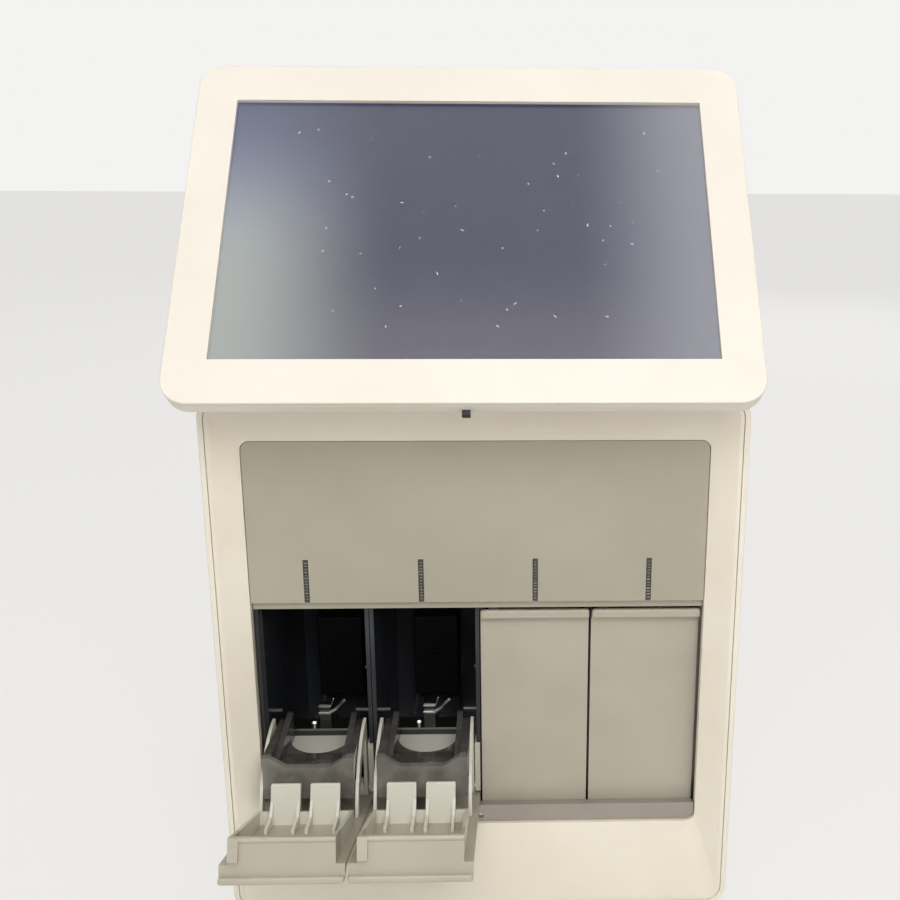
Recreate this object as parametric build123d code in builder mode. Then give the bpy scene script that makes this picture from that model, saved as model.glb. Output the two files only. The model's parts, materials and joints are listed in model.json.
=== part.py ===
from build123d import *
from math import atan2, cos, degrees, hypot, radians, sin
import os

os.makedirs("parts", exist_ok=True)

# A bench-top real-time PCR system: a pale casing with four side-by-side test bays behind
# fold-down doors, each with a carrier that slides out with its door, and a tilting touch
# screen on top.
# Millimetres. X is to the right, Y goes back into the machine and Z is up from the bench.
# Depths are counted from the front rim of the casing, which lies at front_y.

# Gap between neighbouring pieces that don't touch
gap = 0.3

# Casing
body_width = 280.0
body_height = 299.0
body_depth = 350.0
foot_height = 14.0
shell_wall = 3.0
shell_radius = 12.0
rim_round = 1.0
pan_thickness = 2.0
pan_flange = 14.0

# Front bezel and the opening that it frames
bezel_set_back = 0.6
bezel_back = 13.0
bezel_lip = 2.0
recess_depth = 8.0
opening_bottom = 63.8
opening_drop = 25.0
opening_radius = 5.0

# Bays, left to right, which share the casing's width
bay_count = 4
side_margin = 18.4
open_count = 2

# Fascia, which starts above the doors, its light slots and the strip below the doors
fascia_rise = 10.3
fascia_thickness = 3.0
fascia_set_back = 0.4
lintel_rise = 5.5
lintel_set_back = 3.6
lintel_thickness = 2.5
lintel_lap = 2.6
slot_width = 2.9
slot_height = 24.4
board_thickness = 1.6
sill_front = 10.0
sill_back = 17.5
sill_clearance = 0.6

# Module housings, which stand behind the doors
module_gap = 0.4
module_wall = 2.2
module_front = 22.0
module_bottom = 62.0
module_top = 196.0
bay_floor = 67.5
bay_ceiling = 193.0
bay_back = 130.0
peg_y = 25.0
peg_z = 127.0
peg_radius = 1.2
peg_length = 7.3
bumper_y = 24.5
bumper_z = 153.5
bumper_radius = 1.4

# Door and its hinge axis
hinge_y = 25.0
hinge_z = 77.6
open_angle = 74.0
door_gap = 1.4
door_front = 18.3
door_thickness = 3.0
door_bottom = 71.6
door_top = 188.5
lip_rise = 3.2
lip_reach = 5.7
lip_thickness = 3.4
lip_drop = 4.3
lip_curve_low = 182.5
lip_slope = 0.2
lip_round = 1.2
lip_corner = 1.6
tray_inset = 4.4
tray_wall = 1.8
tray_bottom = 130.5
tray_depth_low = 6.8
tray_depth_high = 12.7
tray_top_wall = 2.2
bead_radius = 1.5
bead_rise = 0.7
finger_width = 15.5
finger_inner = 2.6
finger_reach = 21.0
finger_drop = 2.1
finger_thickness = 2.6
finger_round = 0.8
rib_width = 1.6
rib_length = 14.0
rib_depth = 2.6
rib_rise = 14.0
catch_width = 4.9
catch_low = 0.9
catch_rise = 2.4
catch_depth = 11.0

# Door arms, hubs and the pins that they turn on
arm_inner = 37.5
arm_outer = 44.5
arm_thickness = 1.7
arm_inset = 3.3
arm_end = 17.0
arm_lap = 1.0
spoke_width = 7.0
barrel_radius = 4.2
hub_radius = 5.5
hub_length = 6.4
pin_radius = 2.0
pin_clearance = 0.05
pin_boss = 1.4
bracket_depth = 14.0
bracket_top = 107.0
bracket_inset = 0.5
bracket_proud = 0.2

# Carrier: how far the door draws it out, its dark cradle and its pale stage
carrier_travel = 48.0
carrier_front = 34.0
carrier_gap = 2.1
carrier_length = 62.0
cradle_bottom = 95.3
cradle_plate = 105.0
cradle_front_top = 114.0
cradle_arc_top = 109.0
bar_depth = 3.0
wall_width = 4.3
wall_front_top = 119.5
wall_back_top = 116.5
ridge_width = 3.3
ridge_back_top = 121.0
horn_end = 49.0
notch_slope = 8.7
well_front = 23.0
bridge_chamfer = 0.8
post_width = 6.4
post_start = 55.0
post_depth = 3.0
post_top = 122.0
stage_inset = 2.3
stage_start = 4.0
stage_thickness = 3.5
slider_foot = 4.4

# Rails and optics inside each bay
rail_inner = 9.0
rail_width = 5.0
rail_top = 90.0
rail_head = 5.0
rail_leg_start = 31.5
rail_end = 118.0
optics_width = 28.0
optics_front = 102.0
optics_bottom = 96.0
optics_top = 150.0
lens_radius = 4.0
lens_depth = 2.0

# Valve drive under each bay and syringe drive above it
drive_y = 70.0
spindle_radius = 3.0
spindle_bottom = 40.0
motor_radius = 16.0
motor_bottom = 22.0
rod_radius = 3.0
rod_tip = 194.5
guide_clearance = 0.05
key_depth = 2.0
yoke_clearance = 3.0
yoke_thickness = 7.0
yoke_width = 14.0
screw_radius = 2.5
screw_spacing = 20.0
tower_width = 30.0
tower_front = 58.0
tower_back = 105.0
tower_plate = 3.0
tower_clearance = 18.0
tower_motor = 26.0
tower_motor_height = 27.0
tower_motor_lead = 9.0

# Door latch under each bay's ceiling
latch_width = 12.0
latch_front = 60.0
latch_back = 90.0
latch_bottom = 176.0
hook_inset = 1.0
hook_width = 6.0
hook_front = 34.8
hook_thickness = 1.5
nose_depth = 2.2
nose_bottom = 186.0

# Frame, boards and power
frame_sheet = 2.0
frame_clearance = 13.0
frame_front = 24.0
frame_back = 250.0
frame_side_top = 200.0
main_board_width = 220.0
main_board_bottom = 90.0
main_board_height = 106.0
standoff = 6.0
standoff_side = 6.0
board_margin = 8.0
chip_side = 30.0
chip_height = 5.0
chip_rise = 56.0
connector_length = 30.0
connector_height = 8.0
connector_depth = 8.0
connector_rise = 10.0
supply_clearance = 17.0
supply_width = 110.0
supply_front = 252.0
supply_depth = 64.0
supply_height = 61.0

# Rear panel and what it holds
panel_set_back = 4.0
panel_thickness = 3.0
fan_size = 92.0
fan_depth = 25.0
fan_inset = 80.0
fan_z = 200.0
fan_hole_ratio = 0.4135
fan_bore = 43.0
blade_radius = 42.0
fan_hub = 19.0
blade_count = 7
blade_pitch_angle = 35.0
blade_thickness = 1.6
blade_bite = 1.0
strut_width = 4.0
strut_depth = 2.5
rotor_gap = 1.0
fan_bearing = 4.0
bearing_depth = 17.0
guard_wire = 1.8
guard_rings = 4
vent_count = 10
vent_pitch = 9.0
vent_length = 90.0
vent_width = 3.6
vent_inset = 74.0
vent_low = 160.0
inlet_inset = 53.0
inlet_z = 46.0
inlet_width = 54.0
inlet_height = 32.0
inlet_lip = 4.0
inlet_depth = 24.0
inlet_flange = 2.0
socket_offset = -10.0
socket_width = 24.0
socket_height = 16.5
socket_depth = 17.0
prong_spacing = 7.0
prong_shift = 2.0
prong_width = 2.0
prong_height = 4.0
prong_length = 13.0
switch_offset = 14.0
switch_width = 12.0
switch_radius = 9.7
switch_angle = 9.0
switch_sink = 2.0
switch_rise = 4.0
switch_pin = 1.5
switch_pin_length = 2.0
port_inset = 80.0
port_z = 51.0
port_width = 60.0
port_height = 22.0
port_depth = 18.0
port_wall = 3.0
network_width = 16.0
network_height = 13.5
data_width = 13.5
data_height = 6.0
data_spacing = 19.5

# Feet and screws
foot_radius = 11.0
foot_inset = 30.0
screw_radius_small = 1.9
screw_head = 3.8
screw_head_height = 2.2
screw_grip = 2.0
sill_screw_radius = 1.3
sill_screw_rise = 3.4
sill_screw_sink = 1.5

# Display: its front face leans back, and it tilts about a shaft behind it. It sits a little
# to the left of the casing's middle.
display_offset = -3.0
display_width = 280.0
display_height = 194.5
display_thickness = 12.0
display_radius = 13.0
display_lean = 36.8
display_wall = 2.0
display_edge_round = 3.0
seam_width = 0.7
seam_depth = 1.3
seam_chamfer = 0.8
bezel_round = 0.8
bulge_width = 200.0
bulge_height = 120.0
bulge_low = 30.0
bulge_depth = 34.0
bulge_taper = 8.0
bezel_plate = 2.0
window_width = 239.0
window_height = 149.6
window_low = 22.4
glass_lap = 3.0
glass_thickness = 1.8
lcd_thickness = 5.0
display_board_width = 140.0
display_board_height = 72.0
display_board_gap = 2.0
display_post_radius = 3.0
display_post_inset = 10.0
display_chip_side = 28.0
display_chip_height = 6.0
shaft_y = 25.0
shaft_rise = 33.5
shaft_up = 65.0
shaft_back = 42.0
shaft_radius = 3.0
knuckle_radius = 6.0
knuckle_inner = 38.0
knuckle_outer = 44.5
knuckle_bite = 1.0
ear_inner = 45.0
ear_outer = 50.0
ear_radius = 7.0
ear_foot_front = 13.0
ear_foot_back = 35.0
mount_width = 120.0
mount_front = 12.0
mount_back = 70.0
mount_plate = 3.0
scanner_width = 4.0
scanner_drop = 2.6
scanner_depth = 3.5
scanner_set_back = 7.5

# Worked out from the sizes above
body_top = foot_height + body_height
body_middle = foot_height + body_height / 2
opening_top = body_top - opening_drop
casing_x = -display_offset / 2
display_x = casing_x + display_offset
inner_width = body_width - 2 * shell_wall
inner_height = body_height - 2 * shell_wall
bezel_width = inner_width - 2 * gap
bezel_height = inner_height - 2 * gap
bezel_radius = shell_radius - shell_wall - gap
bay_pitch = (body_width - 2 * side_margin) / bay_count
opening_width = bay_count * bay_pitch
opening_height = opening_top - opening_bottom
opening_middle = (opening_top + opening_bottom) / 2
infill = opening_width / 2 - fascia_set_back
bay_x = [(number - (bay_count - 1) / 2) * bay_pitch for number in range(bay_count)]
pan_top = foot_height + shell_wall + pan_thickness
module_width = bay_pitch - module_gap
bay_half = module_width / 2 - module_wall
door_width = bay_pitch - door_gap
tray_half = door_width / 2 - tray_inset
hub_outer = door_width / 2 - arm_inset
carrier_half = hub_outer - carrier_gap
ridge_outer = carrier_half - wall_width
well_half = ridge_outer - ridge_width
tube_centre = well_front + well_half
door_back = door_front + door_thickness
lip_front = door_front - lip_reach
lip_top = door_top + lip_rise
fascia_bottom = door_top + fascia_rise
lintel_bottom = door_top + lintel_rise
turn = radians(open_angle)
door_reach = (lip_top - hinge_z) * sin(turn) - (lip_front - hinge_y) * cos(turn) - hinge_y
front_y = (door_reach - body_depth) / 2
foot_swing = hypot(hinge_y - door_front, hinge_z - door_bottom) + 2 * gap
stage_top = cradle_plate
stage_bottom = stage_top - stage_thickness
panel_y = body_depth - panel_set_back - panel_thickness
lean = radians(display_lean)
shaft_z = body_top + shaft_rise
display_y = shaft_y - shaft_up * sin(lean) - shaft_back * cos(lean)
display_z = shaft_z - shaft_up * cos(lean) + shaft_back * sin(lean)
window_middle = window_low + window_height / 2


def facing(y):
    """An upright plane across the machine at depth y, which looks towards the user."""
    return Plane(origin=(casing_x, front_y + y, 0), x_dir=(1, 0, 0), z_dir=(0, -1, 0))


def side(x):
    """An upright plane from front to back at x. Its own x is the depth and its own y is Z."""
    return Plane(origin=(casing_x + x, front_y, 0), x_dir=(0, 1, 0), z_dir=(1, 0, 0))


def level(z):
    """A level plane at height z, whose own y is the depth."""
    return Plane(origin=(casing_x, front_y, z))


def screen(depth):
    """A plane parallel to the display's face, whose own y runs up the face."""
    face = Plane(
        origin=(display_x, front_y + display_y, display_z),
        x_dir=(1, 0, 0),
        z_dir=(0, -cos(lean), sin(lean)),
    )
    return face.offset(-depth)


def block(x, y, z, mode=Mode.ADD):
    """A box between two x, two depths and two heights."""
    with Locations((casing_x + sum(x) / 2, front_y + sum(y) / 2, sum(z) / 2)):
        Box(x[1] - x[0], y[1] - y[0], z[1] - z[0], mode=mode)


def about_hinge(x, angle):
    """Turns a closed door's shape about the hinge axis and moves it to its bay."""
    axis_point = (0, front_y + hinge_y, hinge_z)
    back = Location((0, -axis_point[1], -axis_point[2]))
    return Location((x, axis_point[1], axis_point[2]), (angle, 0, 0)) * back


def write(name, shape, places):
    """Puts copies of a finished shape at their places and writes them as one node."""
    with BuildPart() as piece:
        with Locations(*places):
            add(shape.part)
    piece.part.label = name
    export_step(piece.part, f"parts/{name}.step")


in_bays = [Location((x, 0, 0)) for x in bay_x]


def write_in_bays(name, shape, slide=0.0):
    """Writes one node in each bay. In the open bays it lies nearer the user by slide."""
    for number, x in enumerate(bay_x, 1):
        drawn_out = slide if number <= open_count else 0
        write(f"{name}_{number}", shape, [Location((x, -drawn_out, 0))])


# Casing

foot_x = body_width / 2 - foot_inset
foot_places = [
    (casing_x + x, front_y + y)
    for x in (-foot_x, foot_x)
    for y in (foot_inset, body_depth - foot_inset)
]

with BuildPart() as outer_shell:
    with BuildSketch(facing(0)):
        with Locations((0, body_middle)):
            RectangleRounded(body_width, body_height, shell_radius)
            RectangleRounded(
                inner_width, inner_height, shell_radius - shell_wall, mode=Mode.SUBTRACT
            )
    extrude(amount=-body_depth)
    fillet(outer_shell.faces().sort_by(Axis.Y)[0].outer_wire().edges(), rim_round)
    fillet(outer_shell.faces().sort_by(Axis.Y)[-1].outer_wire().edges(), rim_round)
    with BuildSketch(Plane.XY.offset(foot_height)):
        with Locations(*foot_places):
            Circle(screw_radius_small + gap)
    extrude(amount=shell_wall, mode=Mode.SUBTRACT)
outer_shell.part.label = "outer_shell"
export_step(outer_shell.part, "parts/outer_shell.step")

pan_half = inner_width / 2 - (shell_radius - shell_wall)
pan_front = bezel_back + gap
pan_back = panel_y - gap

with BuildPart() as base_pan:
    block((-pan_half, pan_half), (pan_front, pan_back), (pan_top - pan_thickness, pan_top))
    for start in (pan_front, pan_back - pan_thickness):
        block(
            (-pan_half, pan_half),
            (start, start + pan_thickness),
            (pan_top - pan_thickness, pan_top + pan_flange),
        )
    with BuildSketch(Plane.XY.offset(pan_top)):
        with Locations(*foot_places):
            Circle(screw_radius_small + gap)
    extrude(amount=-pan_thickness, mode=Mode.SUBTRACT)
base_pan.part.label = "base_pan"
export_step(base_pan.part, "parts/base_pan.step")

with BuildPart() as rubber_feet:
    with BuildSketch(Plane.XY):
        with Locations(*foot_places):
            Circle(foot_radius)
    extrude(amount=foot_height)
    chamfer(rubber_feet.faces().sort_by(Axis.Z)[0:4].edges(), rim_round)
    with BuildSketch(Plane.XY):
        with Locations(*foot_places):
            Circle(screw_head + gap)
    extrude(amount=foot_height / 2, mode=Mode.SUBTRACT)
    with BuildSketch(Plane.XY):
        with Locations(*foot_places):
            Circle(screw_radius_small + gap)
    extrude(amount=foot_height, mode=Mode.SUBTRACT)
rubber_feet.part.label = "rubber_feet"
export_step(rubber_feet.part, "parts/rubber_feet.step")

with BuildPart() as front_bezel:
    with BuildSketch(facing(bezel_set_back)):
        with Locations((0, body_middle)):
            RectangleRounded(bezel_width, bezel_height, bezel_radius)
    extrude(amount=-(bezel_back - bezel_set_back))
    with BuildSketch(facing(bezel_set_back)):
        with Locations((0, body_middle)):
            RectangleRounded(
                bezel_width - 2 * bezel_lip,
                bezel_height - 2 * bezel_lip,
                bezel_radius - bezel_lip,
            )
    with BuildSketch(facing(recess_depth)):
        with Locations((0, opening_middle)):
            RectangleRounded(opening_width, opening_height, opening_radius)
    loft(mode=Mode.SUBTRACT)
    with BuildSketch(facing(recess_depth)):
        with Locations((0, opening_middle)):
            RectangleRounded(opening_width, opening_height, opening_radius)
    extrude(amount=-(bezel_back - recess_depth), mode=Mode.SUBTRACT)
front_bezel.part.label = "front_bezel"
export_step(front_bezel.part, "parts/front_bezel.step")

# Fascia, its light slots and the board behind them

fascia_front = recess_depth + fascia_set_back
fascia_back = fascia_front + fascia_thickness
fascia_top = opening_top - fascia_set_back
lintel_front = fascia_front + lintel_set_back
lintel_back = fascia_back + lintel_thickness + gap
lintel_top = fascia_bottom + lintel_lap
slot_top = fascia_bottom + slot_height

with BuildPart() as grey_panel:
    with BuildSketch(side(-infill)):
        with BuildLine():
            Polyline(
                (fascia_front, fascia_bottom),
                (fascia_front, fascia_top),
                (fascia_back, fascia_top),
                (fascia_back, lintel_top),
                (lintel_back, lintel_top),
                (lintel_back, lintel_bottom),
                (lintel_front, lintel_bottom),
                (lintel_front, fascia_bottom),
                close=True,
            )
        make_face()
    extrude(amount=2 * infill)
    fillet(
        grey_panel.edges().filter_by(Axis.Y).group_by(Axis.Z)[-1],
        opening_radius - fascia_set_back,
    )
    with BuildSketch(facing(fascia_front)):
        with Locations(*[(x, fascia_bottom + slot_height / 2) for x in bay_x]):
            Rectangle(slot_width, slot_height)
    extrude(amount=-fascia_thickness, mode=Mode.SUBTRACT)
grey_panel.part.label = "grey_panel"
export_step(grey_panel.part, "parts/grey_panel.step")

with BuildPart() as light_guides:
    for x in bay_x:
        guide = (x - slot_width / 2 + gap / 2, x + slot_width / 2 - gap / 2)
        block(guide, (fascia_front + gap, fascia_back), (fascia_bottom + gap, slot_top - gap))
        block(guide, (fascia_back, lintel_back + gap), (lintel_top + gap, slot_top - gap))
light_guides.part.label = "light_guides"
export_step(light_guides.part, "parts/light_guides.step")

status_half = bay_x[-1] + bay_pitch / 3

with BuildPart() as status_board:
    status_y = lintel_back + gap
    block(
        (-status_half, status_half),
        (status_y, status_y + board_thickness),
        (lintel_top + gap, slot_top + gap),
    )
status_board.part.label = "status_board"
export_step(status_board.part, "parts/status_board.step")


def sill_top(y):
    """Height of the sill's top, just under the outer face of a fully open door."""
    outer = hinge_y - door_front
    return hinge_z - (outer + (y - hinge_y) * cos(turn)) / sin(turn) - sill_clearance


sill_bottom = opening_bottom + gap
sill_screw_z = sill_bottom + sill_screw_rise

with BuildPart() as sill:
    with BuildSketch(side(-infill)):
        with BuildLine():
            Polyline(
                (sill_front, sill_bottom),
                (sill_front, sill_top(sill_front)),
                (sill_back, sill_top(sill_back)),
                (sill_back, sill_bottom),
                close=True,
            )
        make_face()
    extrude(amount=2 * infill)
    fillet(sill.edges().filter_by(Axis.Y).group_by(Axis.Z)[0], opening_radius)
    with BuildSketch(facing(sill_front)):
        with Locations((0, sill_screw_z)):
            Circle(sill_screw_radius + gap)
    extrude(amount=-(sill_back - sill_front), mode=Mode.SUBTRACT)
sill.part.label = "sill"
export_step(sill.part, "parts/sill.step")

# Frame that carries the modules, and the boards behind it

with BuildPart() as chassis_frame:
    half = inner_width / 2 - frame_clearance
    tray_z = module_bottom
    block((-half, half), (frame_front, frame_back), (tray_z - frame_sheet, tray_z))
    block((-half, half), (frame_back - frame_sheet, frame_back), (pan_top, frame_side_top))
    for x in (-half, half - frame_sheet):
        block((x, x + frame_sheet), (frame_front, frame_back), (pan_top, frame_side_top))
    with BuildSketch(level(tray_z)):
        with Locations(*[(x, drive_y) for x in bay_x]):
            Circle(spindle_radius + 2 * gap)
    extrude(amount=-frame_sheet, mode=Mode.SUBTRACT)
chassis_frame.part.label = "chassis_frame"
export_step(chassis_frame.part, "parts/chassis_frame.step")

board_y = frame_back + standoff
board_half = main_board_width / 2

with BuildPart() as controller_board:
    block(
        (-board_half, board_half),
        (board_y, board_y + board_thickness),
        (main_board_bottom, main_board_bottom + main_board_height),
    )
    with BuildSketch(facing(frame_back)):
        with Locations((0, main_board_bottom + main_board_height / 2)):
            with GridLocations(
                main_board_width - 2 * board_margin, main_board_height - 2 * board_margin, 2, 2
            ):
                Rectangle(standoff_side, standoff_side)
    extrude(amount=-standoff)
    chip_y = board_y + board_thickness
    with BuildSketch(facing(chip_y)):
        with Locations((0, main_board_bottom + chip_rise)):
            with GridLocations(main_board_width / 3, 0, 2, 1):
                Rectangle(chip_side, chip_side)
    extrude(amount=-chip_height)
    with BuildSketch(facing(chip_y)):
        with Locations((0, main_board_bottom + connector_rise)):
            with GridLocations(main_board_width / bay_count, 0, bay_count, 1):
                Rectangle(connector_length, connector_height)
    extrude(amount=-connector_depth)
controller_board.part.label = "controller_board"
export_step(controller_board.part, "parts/controller_board.step")

supply_left = supply_clearance - inner_width / 2

with BuildPart() as power_supply:
    block(
        (supply_left, supply_left + supply_width),
        (supply_front, supply_front + supply_depth),
        (pan_top, pan_top + supply_height),
    )
    fillet(power_supply.edges().filter_by(Axis.Z), rim_round)
power_supply.part.label = "power_supply"
export_step(power_supply.part, "parts/power_supply.step")

# Bays: housing, hinge bracket and pins


def swing_notch():
    """The space in front of and below the hinge that the door's foot sweeps."""
    start = 180
    sweep = 136
    axis_at = (hinge_y, hinge_z)
    with BuildSketch(side(-module_width / 2)) as notch:
        with BuildLine():
            inner_arc = CenterArc(axis_at, pin_radius + pin_boss, start, sweep)
            outer_arc = CenterArc(axis_at, foot_swing, start, sweep)
            Line(inner_arc @ 0, outer_arc @ 0)
            Line(inner_arc @ 1, outer_arc @ 1)
        make_face()
    extrude(notch.sketch, amount=module_width, mode=Mode.SUBTRACT)


wall_left = (-module_width / 2, -bay_half)
bracket_x = (hub_outer + bracket_inset, module_width / 2 - gap)
bracket_y = (module_front - bracket_proud, module_front + bracket_depth)

with BuildPart() as housing:
    outer = (-module_width / 2, module_width / 2)
    inside = (-bay_half, bay_half)
    block(outer, (module_front, bay_back + module_wall), (module_bottom, module_top))
    block(inside, (module_front, bay_back), (bay_floor, bay_ceiling), mode=Mode.SUBTRACT)
    block(
        (bay_half, outer[1]),
        (module_front, bracket_y[1] + gap),
        (bay_floor, bracket_top + gap),
        mode=Mode.SUBTRACT,
    )
    swing_notch()
    block(outer, (module_front, bay_back), (module_bottom, bay_floor))
    for x in (-rail_inner - rail_width, rail_inner):
        rail_x = (x, x + rail_width)
        block(rail_x, (module_front + gap, rail_end), (rail_top - rail_head, rail_top))
        block(rail_x, (rail_leg_start, rail_end), (bay_floor, rail_top))
    with BuildSketch(level(module_bottom)):
        with Locations((0, drive_y)):
            Circle(spindle_radius + 2 * gap)
    extrude(amount=bay_floor - module_bottom, mode=Mode.SUBTRACT)
    with BuildSketch(level(bay_ceiling)):
        with Locations((0, drive_y)):
            Circle(rod_radius + 2 * gap)
    extrude(amount=module_top - bay_ceiling, mode=Mode.SUBTRACT)
    with BuildSketch(side(wall_left[0])):
        with Locations((hinge_y, hinge_z)):
            Circle(pin_radius)
    extrude(amount=module_wall, mode=Mode.SUBTRACT)
    for start in (-bay_half, bay_half - peg_length):
        with BuildSketch(side(start)):
            with Locations((peg_y, peg_z)):
                Circle(peg_radius)
        extrude(amount=peg_length)
    with Locations((casing_x + bay_half, front_y + bumper_y, bumper_z)):
        Sphere(bumper_radius)
write_in_bays("housing", housing)

with BuildPart() as hinge_bracket:
    block(bracket_x, bracket_y, (bay_floor, bracket_top))
    top_front = hinge_bracket.edges().filter_by(Axis.X).group_by(Axis.Z)[-1]
    chamfer(top_front.sort_by(Axis.Y)[-1:], bracket_depth / 3)
    swing_notch()
    with BuildSketch(side(bracket_x[0])):
        with Locations((hinge_y, hinge_z)):
            Circle(pin_radius)
    extrude(amount=bracket_x[1] - bracket_x[0], mode=Mode.SUBTRACT)
write("hinge_brackets", hinge_bracket, in_bays)

with BuildPart() as hinge_pin:
    for start, end in (
        (wall_left[0], -hub_outer + hub_length - gap),
        (hub_outer - hub_length + gap, bracket_x[1]),
    ):
        with BuildSketch(side(start)):
            with Locations((hinge_y, hinge_z)):
                Circle(pin_radius)
        extrude(amount=end - start)
write("hinge_pins", hinge_pin, in_bays)

# Bays: optics, latch, valve drive and syringe drive

with BuildPart() as optics:
    half = optics_width / 2
    block((-half, half), (optics_front, bay_back), (optics_bottom, optics_top))
    fillet(optics.faces().sort_by(Axis.Y)[0].edges(), rim_round)
    with BuildSketch(facing(optics_front)):
        with Locations((0, (stage_top + optics_top) / 2)):
            Circle(lens_radius)
    extrude(amount=-lens_depth, mode=Mode.SUBTRACT)
write_in_bays("optics", optics)

with BuildPart() as door_latch:
    latch_x = (-hub_outer + gap, -hub_outer + gap + latch_width)
    latch_top = bay_ceiling - gap
    hook_x = (latch_x[0] + hook_inset, latch_x[0] + hook_inset + hook_width)
    block(latch_x, (latch_front, latch_back), (latch_bottom, latch_top))
    block(hook_x, (hook_front, latch_front), (latch_top - hook_thickness, latch_top))
    block(hook_x, (hook_front, hook_front + nose_depth), (nose_bottom, latch_top))
write("door_latches", door_latch, in_bays)

with BuildPart() as valve_motor:
    motor_top = module_bottom - frame_sheet
    with BuildSketch(level(motor_bottom)):
        with Locations((0, drive_y)):
            Circle(motor_radius)
    extrude(amount=motor_top - motor_bottom)
    with BuildSketch(level(motor_top)):
        with Locations((0, drive_y)):
            Circle(spindle_radius + pin_clearance)
    extrude(amount=-(motor_top - spindle_bottom + gap), mode=Mode.SUBTRACT)
write("valve_motors", valve_motor, in_bays)

with BuildPart() as valve_drive:
    spindle_top = stage_bottom - gap
    key_length = 3 * spindle_radius
    with BuildSketch(level(spindle_bottom)):
        with Locations((0, drive_y)):
            Circle(spindle_radius)
    extrude(amount=spindle_top - spindle_bottom)
    with BuildSketch(level(spindle_top - key_depth)):
        with Locations((0, drive_y)):
            Rectangle(key_length, spindle_radius)
    extrude(amount=key_depth)
write_in_bays("valve_drive", valve_drive)

screw_y = drive_y + screw_spacing
tower_top = body_top - shell_wall - tower_clearance
tower_motor_bottom = tower_top - tower_motor_height
yoke_top = tower_motor_bottom - yoke_clearance
yoke_bottom = yoke_top - yoke_thickness

with BuildPart() as syringe_drive:
    half = tower_width / 2
    tower_x = (-half, half)
    block(tower_x, (tower_front, tower_back), (module_top, module_top + tower_plate))
    block(tower_x, (tower_back - tower_plate, tower_back), (module_top, tower_top))
    motor_x = (-tower_motor / 2, tower_motor / 2)
    motor_y = (screw_y - tower_motor_lead, tower_back)
    block(motor_x, motor_y, (tower_motor_bottom, tower_top))
    with BuildSketch(level(module_top)):
        with Locations((0, screw_y)):
            Circle(screw_radius)
    extrude(amount=tower_top - module_top)
    with BuildSketch(level(module_top)):
        with Locations((0, drive_y)):
            Circle(rod_radius + guide_clearance)
    extrude(amount=tower_plate, mode=Mode.SUBTRACT)
write("syringe_drives", syringe_drive, in_bays)

with BuildPart() as plunger:
    half = yoke_width / 2
    yoke_y = (drive_y - half, screw_y + half)
    block((-half, half), yoke_y, (yoke_bottom, yoke_top))
    with BuildSketch(level(rod_tip)):
        with Locations((0, drive_y)):
            Circle(rod_radius)
    extrude(amount=yoke_bottom - rod_tip)
    with BuildSketch(level(yoke_bottom)):
        with Locations((0, screw_y)):
            Circle(screw_radius + gap)
    extrude(amount=yoke_thickness, mode=Mode.SUBTRACT)
write_in_bays("plunger", plunger)

# Sliding carrier: a dark cradle on a pale stage, drawn at its closed place


def along(depth):
    """Depth in the machine of a place that lies so far behind the carrier's front."""
    return carrier_front + depth


with BuildPart() as cradle:
    # Front bar with its notch, and the block behind it
    notch_low = ridge_outer - notch_slope
    with BuildSketch(facing(along(0))):
        with BuildLine():
            Polyline(
                (-carrier_half, cradle_bottom),
                (carrier_half, cradle_bottom),
                (carrier_half, wall_front_top),
                (ridge_outer, wall_front_top),
                (notch_low, cradle_front_top),
                (-notch_low, cradle_front_top),
                (-ridge_outer, wall_front_top),
                (-carrier_half, wall_front_top),
                close=True,
            )
        make_face()
    extrude(amount=-bar_depth)
    with BuildSketch(side(-carrier_half)):
        with BuildLine():
            Polyline(
                (along(bar_depth), cradle_plate),
                (along(bar_depth), cradle_front_top),
                (along(well_front), cradle_arc_top),
                (along(carrier_length), cradle_arc_top),
                (along(carrier_length), cradle_plate),
                close=True,
            )
        make_face()
    extrude(amount=2 * carrier_half)

    # Tube well: a half round at the front and a straight edge at the back
    with BuildSketch(level(cradle_plate)):
        with BuildLine():
            half_round = CenterArc((0, along(tube_centre)), well_half, 180, 180)
            Polyline(
                half_round @ 1,
                (well_half, along(horn_end)),
                (-well_half, along(horn_end)),
                half_round @ 0,
            )
        make_face()
    extrude(amount=cradle_front_top - cradle_plate, mode=Mode.SUBTRACT)
    chamfer(
        cradle.edges()
        .filter_by(Axis.X)
        .filter_by_position(Axis.Z, cradle_arc_top - gap, cradle_arc_top + gap)
        .filter_by_position(Axis.Y, front_y + along(horn_end) - gap, front_y + along(horn_end) + gap),
        bridge_chamfer,
    )

    # Two side walls, each with a ridge along its inside, and the post at the back
    for inner, outer, front_top, back_top in (
        (ridge_outer, carrier_half, wall_front_top, wall_back_top),
        (well_half, ridge_outer, cradle_front_top, ridge_back_top),
    ):
        for start in (-outer, inner):
            with BuildSketch(side(start)):
                with BuildLine():
                    Polyline(
                        (along(bar_depth), cradle_plate),
                        (along(bar_depth), front_top),
                        (along(horn_end), back_top),
                        (along(horn_end), cradle_plate),
                        close=True,
                    )
                make_face()
            extrude(amount=outer - inner)
    block(
        (-post_width / 2, post_width / 2),
        (along(post_start), along(post_start + post_depth)),
        (cradle_arc_top, post_top),
    )
write_in_bays("cradle", cradle, carrier_travel)

with BuildPart() as stage:
    stage_half = carrier_half - stage_inset
    block(
        (-stage_half, stage_half),
        (along(stage_start), along(carrier_length)),
        (stage_bottom, stage_top),
    )
    slider_middle = rail_inner + rail_width / 2
    for middle in (-slider_middle, slider_middle):
        block(
            (middle - slider_foot / 2, middle + slider_foot / 2),
            (along(stage_start), along(carrier_length)),
            (rail_top + gap, stage_bottom),
        )
write_in_bays("stage", stage, carrier_travel)

# Doors, drawn closed

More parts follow.
